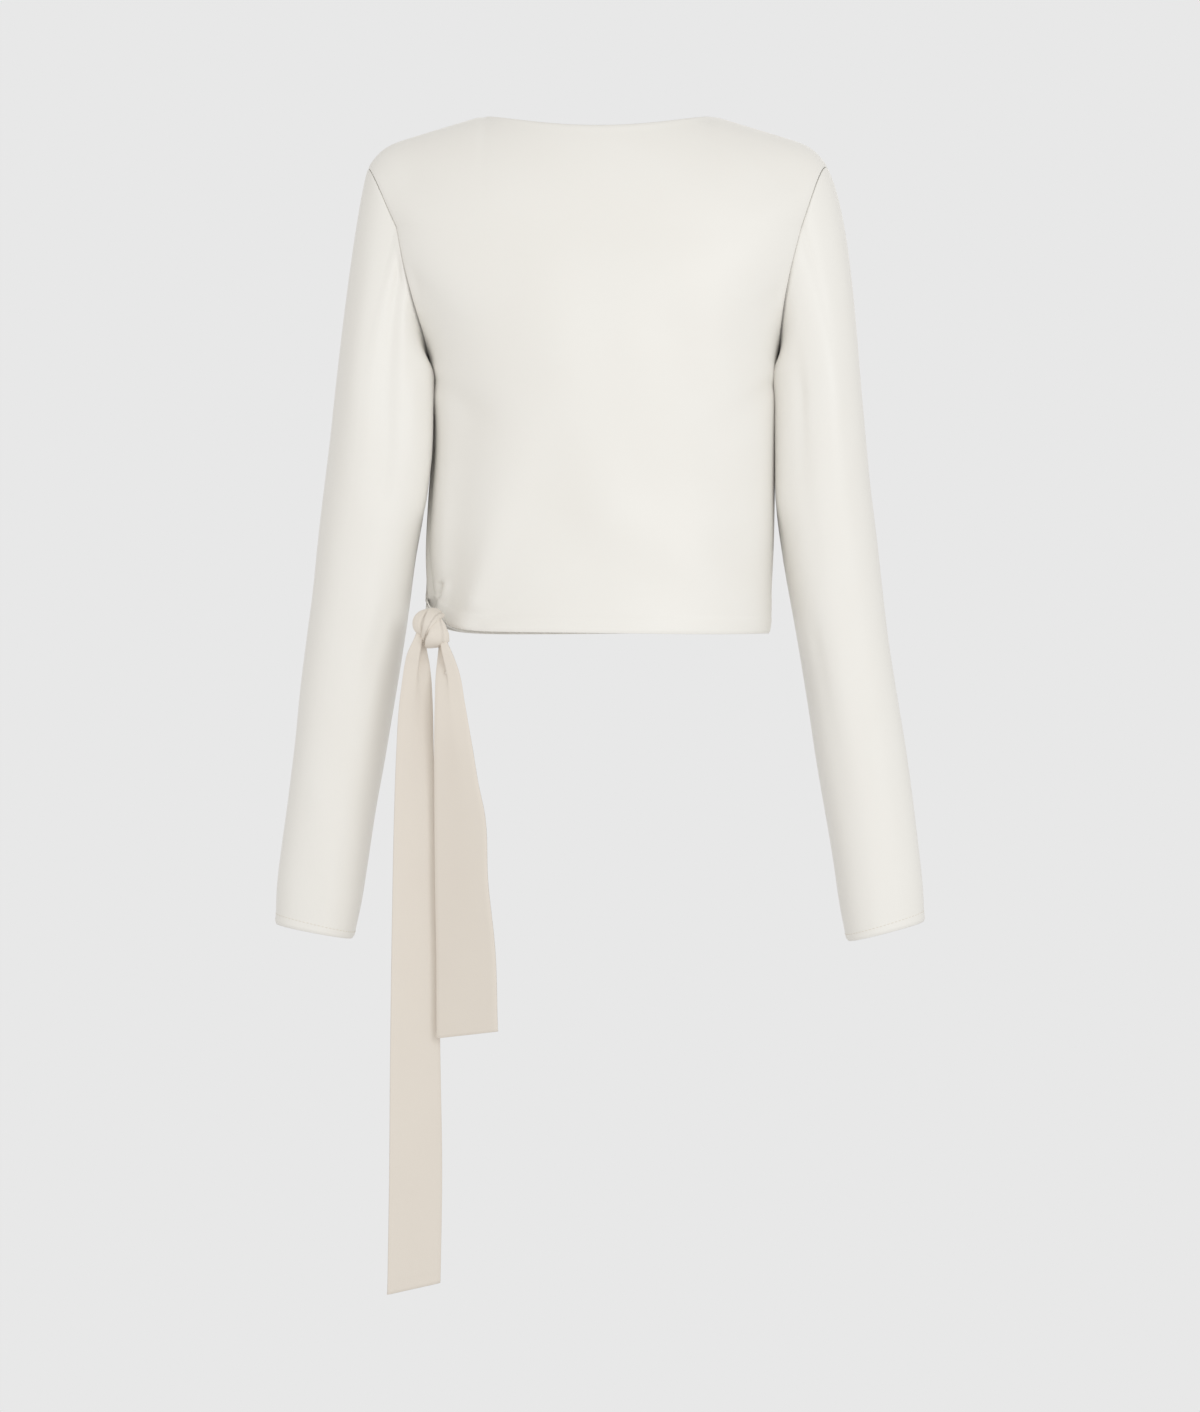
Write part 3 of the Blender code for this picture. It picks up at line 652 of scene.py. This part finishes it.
def make_sleeve(side, hand, loop, sewn_edge):
    """loop is the armhole's edge, and sewn_edge is the same edge as it lies when sewn in."""
    table = SLEEVES[side]
    steps = np.linalg.norm(np.roll(loop, -1, axis=0) - loop, axis=1)
    angles = 2 * np.pi * np.concatenate(([0], np.cumsum(steps)[:-1])) / steps.sum()
    drops = TUBE_TOP + (CUFF - TUBE_TOP) * stops([(CUFF - TUBE_TOP, SLEEVE_STEP)])[FINE_MARKS:]
    drops = np.concatenate(([TUBE_TOP], drops))
    tube = sleeve_rings(table, drops, hand, angles, CUFF_SLANT[side])

    shoulder = ((1 - np.cos(angles)) / 2)[:, None]
    under_angle, under_length, tip_angle, tip_length = HEADS[side]
    climb = np.radians(blend(under_angle, tip_angle, shoulder))
    leave = np.concatenate((hand * np.cos(climb), np.zeros_like(climb), np.sin(climb)), axis=1)
    curve = (
        loop,
        loop + leave * blend(under_length, tip_length, shoulder),
        tube[0] + unit(tube[0] - tube[DOWN_TUBE]) * blend(HEAD_END[0], HEAD_END[1], shoulder),
        tube[0],
    )
    head_stops = stops([(HEAD_LENGTH, SLEEVE_STEP)])[: -FINE_MARKS - 1]
    head = np.array([bezier(curve, t) for t in head_stops])
    base = np.concatenate((head, tube))
    ring_drops = np.concatenate((blend(HEAD_DROP, TUBE_TOP, head_stops), drops))
    ring_across = np.roll(base, -1, axis=1) - np.roll(base, 1, axis=1)
    out = hand * unit(np.cross(np.gradient(base, axis=0), ring_across))
    along = lengths(base, 0)
    relief = sleeve_creases(angles, ring_drops, SLEEVE_FOLDS[side]) * ease(along / CREASE_HOLD)
    relief += seam_dip(along + SEAM_INSET) + turned_hem(along[-1:] - along, CUFF_HEM)
    under_seam = np.degrees(np.minimum(angles, 2 * np.pi - angles))[None, :] * DEGREE
    dip = UNDER_SEAM_DIP * np.exp(-((under_seam / UNDER_SEAM_SPREAD) ** 2))
    relief -= dip * ease((along - UNDER_SEAM_FROM) / UNDER_SEAM_GROWS)
    face = base + out * relief[..., None]
    face[0] = sewn_edge
    closed = np.concatenate((face, face[:, :1]), axis=1)
    item = cloth_object(f"sleeve_{side}_cloth", closed, out, closed=True)
    item.data.materials.append(ivory)
    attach(item, "root")
    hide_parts(f"sleeve_{side}")
    return face, out


left_sleeve_face, left_sleeve_out = make_sleeve(
    "left",
    -1,
    armhole_loop(back_base[:, 0], left_base[:, 0]),
    armhole_loop(back_face[:, 0], left_face[:, 0]),
)
right_sleeve_face, right_sleeve_out = make_sleeve(
    "right",
    1,
    armhole_loop(back_base[:, -1], right_base[:, 0]),
    armhole_loop(back_face[:, -1], right_face[:, 0]),
)

# ---------------------------------------------------------------- ties
# A tie is a strip of crepe sewn into a flat tube with its matt face out, 50 mm wide, with a slanting end. It
# is bunched where it leaves the knot and opens out lower down.

# The ties' colours are darker and warmer than the ivory's: painted shade on the same crepe. Their matt face
# shows in the higher roughness.
tie_crepe_painted_shade = crepe("matt_crepe_painted_shade", "E6DED3", "E3DACF", 0.62, 0.25, 1.3, 0.16)
TIE_END_SLANT = 3.6                         # how far the left corner of a tie's end hangs below its middle
TIE_THICK = 1.8
TIES = {
    "long": (
        # drop, left, right, depth, slant, pleat
        (419, -144.5, -138.5, -56, 0, 1.0), (426, -147.0, -139.0, -57, 0, 1.0),
        (433, -150.5, -138.6, -58, 0, 0.9), (440, -153.6, -137.6, -57, 1, 0.75),
        (448, -155.6, -136.0, -56, 1, 0.55), (458, -157.2, -134.8, -55, 2, 0.35),
        (480, -160.0, -133.6, -53, 4, 0.16), (520, -162.4, -132.8, -52, 5, 0.08),
        (560, -163.8, -131.5, -51, 6, 0.04), (640, -165.5, -129.5, -50, 7, 0.02),
        (770, -167.2, -127.6, -50, 8, 0), (860, -168.0, -126.2, -50, 8, 0),
        (952.5, -169.5, -127.5, -50, 8, 0),
    ),
    "short": (
        (420, -128.5, -124.0, -58, 0, 1.0), (430, -128.3, -121.6, -61, 0, 1.0),
        (437, -128.6, -118.4, -63, 0, 0.9), (445, -129.4, -115.0, -63, 0, 0.7),
        (455, -130.4, -111.5, -63, 0, 0.45), (480, -131.3, -107.0, -63, 0, 0.2),
        (518, -132.0, -100.5, -63, -4, 0.1), (545, -132.0, -96.2, -62, -6, 0.06),
        (570, -132.0, -91.0, -62, -8, 0.04), (625, -131.5, -88.3, -62, -9, 0.02),
        (680, -130.6, -82.6, -62, -10, 0), (746.6, -130.4, -80.5, -62, -10, 0),
    ),
}
TIE_FRONT_LAYER = {"long": 1, "short": -1}  # 1 when the pleat's front layer is on the left
PLEAT_OVERLAP, PLEAT_DEPTH, PLEAT_BOW = 0.42, 6, 1.5    # a share of the width, then millimetres
BUNCHED_LENGTH, BUNCHED_STEP, HANGING_STEP = 60, 1.6, 3.5


def tie_points(side):
    """A tie's middle surface as a grid of points, from the knot down and from left to right. Its width is
    doubled back on itself in one pleat where it is bunched."""
    table = TIES[side]
    first, last = table[0][0], table[-1][0]
    zones = [(BUNCHED_LENGTH, BUNCHED_STEP), (last - first - BUNCHED_LENGTH, HANGING_STEP)]
    drops = first + (last - first) * stops(zones)
    left, right, depth, slant, pleat = (column[:, None] for column in follow(table, drops))
    share = stops([(50, 1.6)], ends=(0.0, 0.4, 1.0))[None, :]
    across = 2 * share - 1
    turn = TIE_FRONT_LAYER[side]
    fold = np.sin(2 * np.pi * share) * pleat * PLEAT_OVERLAP
    x = blend(left, right, share + fold)
    layers = PLEAT_DEPTH * turn * across - PLEAT_BOW * np.cos(np.pi * across)
    y = depth + slant * across + pleat * layers
    hang = TIE_END_SLANT * across * (drops[:, None] - first) / (last - first)
    return np.stack((x, y, hang - drops[:, None]), axis=-1)


EDGE_SOFTNESS, EDGE_ROUNDING, END_ROUNDING = 1.2, 0.7, 0.8
END_SEAM, END_SEAM_SPREAD, END_SEAM_DIP = 7, 1.0, 0.35    # where the end's turning shows through


def make_tie(side):
    points = tie_points(side)
    out = grid_normals(points, (0, -1, 0))
    across, along = lengths(points, 1), lengths(points, 0)
    to_edge = np.minimum(across, across[:, -1:] - across)
    to_end = along[-1:] - along
    relief = -EDGE_ROUNDING * np.exp(-((to_edge / EDGE_SOFTNESS) ** 2))
    relief -= END_ROUNDING * np.exp(-((to_end / EDGE_SOFTNESS) ** 2))
    relief -= END_SEAM_DIP * np.exp(-(((to_end - END_SEAM) / END_SEAM_SPREAD) ** 2))
    face = points + out * (relief + TIE_THICK / 2)[..., None]
    item = cloth_object(f"tie_{side}_cloth", face, out, thickness=TIE_THICK)
    item.data.materials.append(tie_crepe_painted_shade)
    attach(item, "root")
    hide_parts(f"tie_{side}")


make_tie("long")
make_tie("short")

# ---------------------------------------------------------------- knot
# The two ties, of the same crepe with painted shade in its colour, cross and pass through each other once,
# so the knot shows three stretches of cloth, each folded to a soft strap: one over the upper left, one
# across the middle, and a wide one round the lower right.

STRAPS = {
    # x, depth, drop, half width, half thickness
    "upper": (
        (-135.0, -48, 404.5, 2.4, 1.4), (-138.2, -57, 406.8, 4.6, 2.0), (-142.0, -62, 411.5, 6.2, 2.4),
        (-143.4, -63, 417.0, 6.0, 2.4), (-141.4, -61, 422.5, 4.6, 2.2), (-139.5, -55, 426.5, 3.0, 1.8),
    ),
    "across": (
        (-128.2, -48, 406.5, 5.4, 1.8), (-131.6, -59, 408.0, 6.2, 2.2), (-134.6, -66, 412.6, 5.0, 2.4),
        (-137.2, -68, 418.2, 3.6, 2.2), (-139.2, -64, 424.5, 2.6, 2.0), (-140.5, -56, 430.0, 2.2, 1.8),
    ),
    "lower": (
        (-130.0, -52, 408.5, 3.2, 1.6), (-129.4, -62, 413.0, 5.0, 2.2), (-128.4, -66, 420.0, 7.4, 2.6),
        (-128.2, -67, 425.0, 9.0, 2.8), (-129.2, -65, 430.0, 10.0, 2.8), (-130.6, -56, 432.6, 9.0, 2.4),
    ),
}
KNOT_HEART = (-136.0, -44.0, -417.0)        # the straps face away from this point
STRAP_RINGS, STRAP_SIDES, STRAP_FLATNESS = 60, 48, 0.75
# A strap's pleat is a narrow groove with a low ridge beside it. Each has a place, a width and a height, as
# shares of the strap's half width and half thickness.
GROOVE, RIDGE = (0.35, 0.09, -0.45), (0.1, 0.2, 0.15)


def strap_face(rows):
    """Rings of a soft strap along its path: flat ovals with a pleat on the outer face."""
    at = np.linspace(0, len(rows) - 1, STRAP_RINGS)
    x, depth, drop, wide, thick = follow([(index, *row) for index, row in enumerate(rows)], at)
    path = np.stack((x, depth, -drop), axis=-1)
    ahead = unit(np.gradient(path, axis=0))
    outward = unit(path - np.array(KNOT_HEART))
    side = unit(np.cross(outward, ahead))
    up = unit(np.cross(ahead, side))
    around = np.linspace(0, 2 * np.pi, STRAP_SIDES + 1)[:-1]
    cos, sin = np.cos(around), np.sin(around)
    flat = np.sign(cos) * np.abs(cos) ** STRAP_FLATNESS
    pleat = np.zeros_like(flat)
    for place, width, height in (GROOVE, RIDGE):
        pleat += height * np.exp(-(((flat - place) / width) ** 2))
    high = np.sign(sin) * np.abs(sin) ** STRAP_FLATNESS + pleat * (sin > 0)
    rings = path[:, None] + side[:, None] * (wide[:, None] * flat)[..., None]
    return rings + up[:, None] * (thick[:, None] * high)[..., None]


def join_straps(name, straps):
    """One mesh of closed straps, each a run of rings with an end face at both ends."""
    vertices, faces = [], []
    for rings in straps:
        count, sides = rings.shape[:2]
        start = len(vertices)
        for ring in range(count - 1):
            for side in range(sides):
                after = (side + 1) % sides
                near, far = start + ring * sides, start + (ring + 1) * sides
                faces.append([near + side, near + after, far + after, far + side])
        faces.append([start + side for side in range(sides)])
        faces.append([start + (count - 1) * sides + side for side in range(sides)])
        vertices += [tuple(point) for point in rings.reshape(-1, 3) * MM]
    mesh = bpy.data.meshes.new(name)
    mesh.from_pydata(vertices, [], faces)
    work = bmesh.new()
    work.from_mesh(mesh)
    bmesh.ops.recalc_face_normals(work, faces=work.faces)
    work.to_mesh(mesh)
    work.free()
    layer = mesh.uv_layers.new(name="Cloth")
    for loop in mesh.loops:
        place = mesh.vertices[loop.vertex_index].co
        layer.data[loop.index].uv = (place.x, place.z)
    mesh.shade_smooth()
    item = bpy.data.objects.new(name, mesh)
    bpy.context.scene.collection.objects.link(item)
    return item


straps = [strap_face(rows) for rows in STRAPS.values()]
knot = join_straps("knot_cloth", straps)
knot.data.materials.append(tie_crepe_painted_shade)
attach(knot, "root")
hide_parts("knot")

# ---------------------------------------------------------------- stitches
# Fine ivory polyester thread, a little darker than the cloth. There is one row of stitches round each cuff,
# where the narrow hem is sewn down.

thread = bpy.data.materials.new("ivory_polyester_thread")
thread.use_nodes = True
thread_shader = thread.node_tree.nodes["Principled BSDF"]
thread_shader.inputs["Base Color"].default_value = linear("E6E0D4")
thread_shader.inputs["Roughness"].default_value = 0.5
STITCH, STITCH_GAP, THREAD_THICK, STITCH_RAISE = 2.4, 0.8, 0.28, 0.05
AHEAD = 0.5                                 # the path's direction is read this far before and after a stitch


def point_at(distance, run, points):
    """The point at a distance along a path whose points lie at the distances in run."""
    return np.array([np.interp(distance, run, points[:, axis]) for axis in range(3)])


def stitch_row(name, path, outward, slot):
    """Small straight stitches laid along a closed path on the cloth, each half sunk in it."""
    bpy.ops.mesh.primitive_uv_sphere_add(segments=8, ring_count=6, radius=1.0)
    model = bpy.context.object
    shape = np.array([tuple(v.co) for v in model.data.vertices])
    faces = [tuple(p.vertices) for p in model.data.polygons]
    bpy.data.objects.remove(model, do_unlink=True)
    closed = np.concatenate((path, path[:1]))
    out = np.concatenate((outward, outward[:1]))
    run = np.concatenate(([0], np.cumsum(np.linalg.norm(np.diff(closed, axis=0), axis=1))))
    vertices, polygons = [], []
    for middle in np.arange(STITCH / 2, run[-1], STITCH + STITCH_GAP):
        before, after = point_at(middle - AHEAD, run, closed), point_at(middle + AHEAD, run, closed)
        ahead = unit(after - before)
        up = point_at(middle, run, out)
        up = unit(up - ahead * (up @ ahead))
        side = np.cross(up, ahead)
        centre = (before + after) / 2 + up * STITCH_RAISE
        turned = shape[:, :1] * ahead * STITCH / 2 + shape[:, 1:2] * side * THREAD_THICK
        turned = turned + shape[:, 2:] * up * THREAD_THICK
        polygons += [tuple(corner + len(vertices) for corner in face) for face in faces]
        vertices += [tuple(point) for point in (turned + centre) * MM]
    mesh = bpy.data.meshes.new(name)
    mesh.from_pydata(vertices, [], polygons)
    mesh.shade_smooth()
    item = bpy.data.objects.new(name, mesh)
    bpy.context.scene.collection.objects.link(item)
    item.data.materials.append(thread)
    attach(item, "root")


def cuff_row(face, normals):
    """The ring of a sleeve's points nearest the top of its cuff hem."""
    along = lengths(face, 0)
    row = int(np.argmin(np.abs((along[-1] - along).mean(axis=1) - CUFF_HEM)))
    return face[row], normals[row]


stitch_row("cuff_stitches_left", *cuff_row(left_sleeve_face, left_sleeve_out), "ivory_cloth")
stitch_row("cuff_stitches_right", *cuff_row(right_sleeve_face, right_sleeve_out), "ivory_cloth")

# ---------------------------------------------------------------- studio
# A pale floor at a standing wearer's height below the shoulders, an even pale surround, a large soft light
# high on the right and weaker ones on the left, below and in front, and a level camera behind the garment.

FLOOR_Z, FLOOR_RADIUS = -1.38, 1.6
pale = bpy.data.materials.new("pale_matt_paint")
pale.use_nodes = True
pale_shader = pale.node_tree.nodes["Principled BSDF"]
pale_shader.inputs["Roughness"].default_value = 0.9
speckle = add_node(pale.node_tree, "ShaderNodeTexNoise", {"Scale": 3.0}, {})
paint = add_node(pale.node_tree, "ShaderNodeMix", {"data_type": "RGBA"}, {"Factor": speckle.outputs["Fac"]})
paint.inputs[MIX_A].default_value = linear("E2E2E2")
paint.inputs[MIX_B].default_value = linear("E0E0E0")
pale.node_tree.links.new(paint.outputs[MIX_RESULT], pale_shader.inputs["Base Color"])
bpy.ops.mesh.primitive_circle_add(
    vertices=96, radius=FLOOR_RADIUS, fill_type="NGON", location=(0, 0, FLOOR_Z)
)
floor = bpy.context.object
floor.name = "floor"
floor.data.materials.append(pale)

world = bpy.data.worlds.new("surround")
bpy.context.scene.world = world
world.use_nodes = True
surround = world.node_tree
seen = surround.nodes["Background"]
seen.inputs["Color"].default_value = linear("E8E8E8")
SOFT_LIGHT, SOFT_STRENGTH = (1.0, 0.988, 0.968, 1.0), 0.725
lit = add_node(surround, "ShaderNodeBackground", {"Color": SOFT_LIGHT, "Strength": SOFT_STRENGTH}, {})
path = add_node(surround, "ShaderNodeLightPath", {}, {})
choice = add_node(surround, "ShaderNodeMixShader", {}, {"Fac": path.outputs["Is Camera Ray"]})
surround.links.new(lit.outputs["Background"], choice.inputs[1])
surround.links.new(seen.outputs["Background"], choice.inputs[2])
surround.links.new(choice.outputs["Shader"], surround.nodes["World Output"].inputs["Surface"])


def add_light(name, place, aim, size, watts, colour=(1.0, 1.0, 1.0)):
    """A round soft light at a place, turned to shine at another."""
    data = bpy.data.lights.new(name, "AREA")
    data.shape = "DISK"
    data.size = size
    data.energy = watts
    data.color = colour
    lamp = bpy.data.objects.new(name, data)
    bpy.context.scene.collection.objects.link(lamp)
    lamp.location = place
    direction = np.array(aim, dtype=float) - np.array(place, dtype=float)
    tip = math.atan2(math.hypot(direction[0], direction[1]), -direction[2])
    swing = math.atan2(direction[1], direction[0]) - math.pi / 2
    lamp.rotation_euler = (tip, 0, swing)


add_light("key", (1.7, -2.9, 0.5), (0.05, 0, -0.4), 1.6, 22, (0.92, 0.965, 1.0))
add_light("fill", (-2.4, -2.2, 0.2), (0, 0, -0.4), 2.0, 5)
add_light("low_fill", (0.3, -2.6, -1.25), (0, 0, -0.45), 1.4, 7)
add_light("front_fill", (0.4, 2.8, 0.8), (0, 0, -0.4), 2.0, 6)

CAMERA_BACK, CAMERA_X, CAMERA_Z, VIEW_HEIGHT = 3.2, 0.0016, -0.482, 1.1578
view = bpy.data.cameras.new("camera")
view.sensor_width = 36.0
view.lens = view.sensor_width * CAMERA_BACK / VIEW_HEIGHT
view.clip_end = 50.0
camera = bpy.data.objects.new("camera", view)
bpy.context.scene.collection.objects.link(camera)
camera.location = (CAMERA_X, -CAMERA_BACK, CAMERA_Z)
camera.rotation_euler = (math.pi / 2, 0, 0)
bpy.context.scene.camera = camera
bpy.context.scene.view_settings.view_transform = "Standard"
